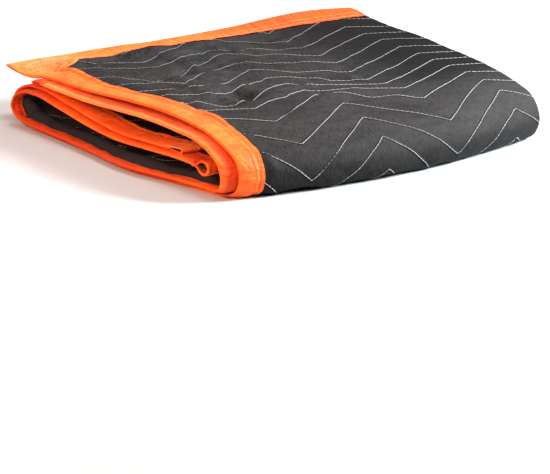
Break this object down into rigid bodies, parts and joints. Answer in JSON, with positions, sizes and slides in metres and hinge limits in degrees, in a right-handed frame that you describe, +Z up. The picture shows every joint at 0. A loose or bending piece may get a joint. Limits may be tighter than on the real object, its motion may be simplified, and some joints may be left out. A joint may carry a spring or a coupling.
{
  "type": "folded moving pad",
  "caption": "Quilted moving pad of dark cloth with orange bound edges, doubled over and folded flat with one panel tucked inside.",
  "frame": {"origin": "middle of the footprint, on the surface that the folded pad lies on", "axes": "+Z up; +X from the open left end with the bound edges to the plain end fold; +Y from the front fold to the back, where the free short edge lies on top"},
  "size_m": [0.6696, 0.6216, 0.1065],
  "materials": {
    "cloth": "matte charcoal felt-like cloth with white zigzag quilting, slightly glossier round the front fold",
    "binding": "bright orange woven polyester binding with a soft sheen and stitch lines near its inner edge"
  },
  "bodies": {
    "root": {"pad": "cloth", "binding_long_outer": "binding", "binding_long_inner": "binding", "binding_end_outer": "binding", "binding_end_inner": "binding"}
  },
  "joints": []
}
